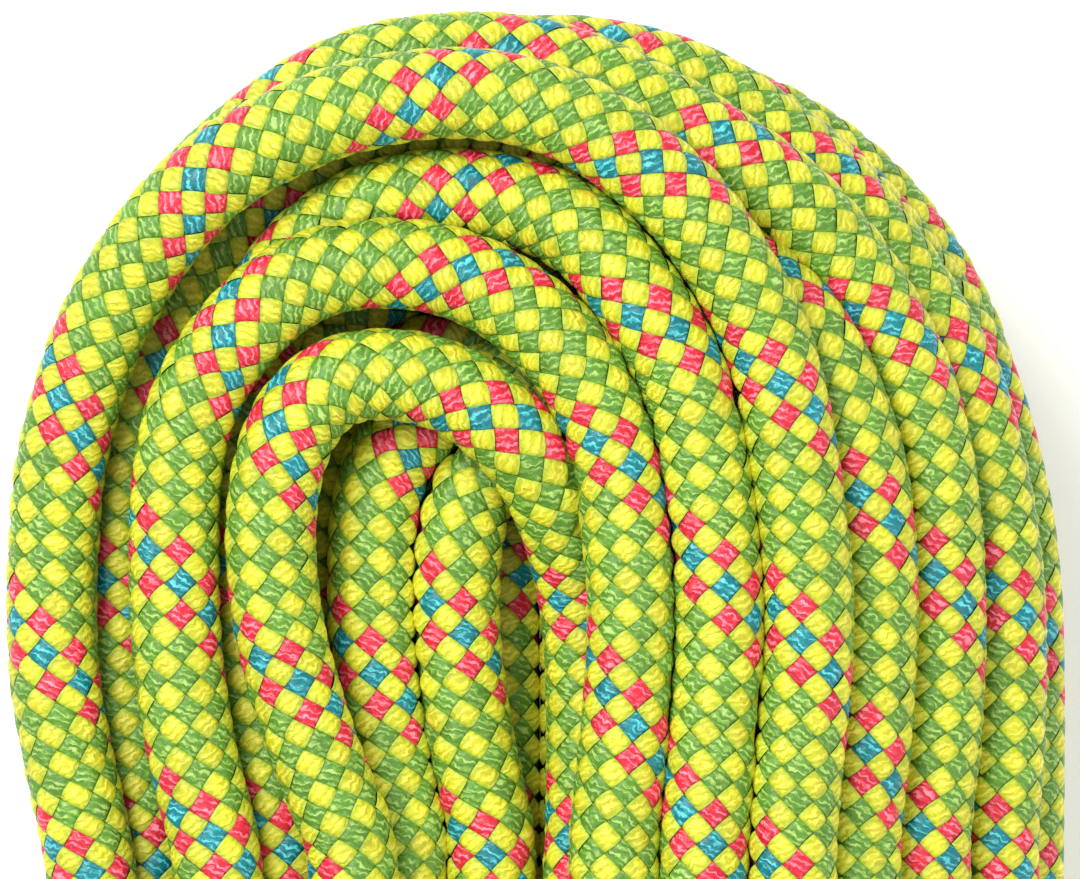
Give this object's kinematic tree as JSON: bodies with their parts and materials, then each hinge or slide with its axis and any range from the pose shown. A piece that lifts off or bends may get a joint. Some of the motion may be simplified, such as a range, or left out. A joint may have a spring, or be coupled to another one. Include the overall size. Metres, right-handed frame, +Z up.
{
  "type": "dynamic climbing rope",
  "caption": "Kernmantle climbing rope wound into a long tied hank, with a braided sheath in yellow and green with pink and teal tracers, and two finished ends.",
  "frame": {"origin": "on the surface that the rope lies on, under the middle of the object's box", "axes": "+Y along the hank towards its tied, shorter looped end, +X across the hank, +Z up"},
  "size_m": [0.119, 0.665, 0.1016],
  "materials": {
    "sheath": "satin",
    "core_strand": "satin",
    "marker_tape": "gloss",
    "end_sleeve": "satin",
    "fused_tip": "satin"
  },
  "bodies": {
    "root": {"lower_end_core_strand_01": "core_strand", "lower_end_core_strand_02": "core_strand", "lower_end_core_strand_03": "core_strand", "lower_end_core_strand_04": "core_strand", "lower_end_core_strand_05": "core_strand", "lower_end_core_strand_06": "core_strand", "lower_end_core_strand_07": "core_strand", "lower_end_core_strand_08": "core_strand", "lower_end_core_strand_09": "core_strand", "lower_end_core_strand_10": "core_strand", "lower_end_core_strand_11": "core_strand", "lower_end_core_strand_12": "core_strand", "lower_end_fused_tip": "fused_tip", "lower_end_marker_tape": "marker_tape", "lower_end_sheath": "sheath", "lower_end_sleeve": "end_sleeve", "upper_end_core_strand_01": "core_strand", "upper_end_core_strand_02": "core_strand", "upper_end_core_strand_03": "core_strand", "upper_end_core_strand_04": "core_strand", "upper_end_core_strand_05": "core_strand", "upper_end_core_strand_06": "core_strand", "upper_end_core_strand_07": "core_strand", "upper_end_core_strand_08": "core_strand", "upper_end_core_strand_09": "core_strand", "upper_end_core_strand_10": "core_strand", "upper_end_core_strand_11": "core_strand", "upper_end_core_strand_12": "core_strand", "upper_end_fused_tip": "fused_tip", "upper_end_marker_tape": "marker_tape", "upper_end_sheath": "sheath", "upper_end_sleeve": "end_sleeve", "waist_wraps": "sheath", "wound_hank": "sheath"}
  },
  "joints": []
}
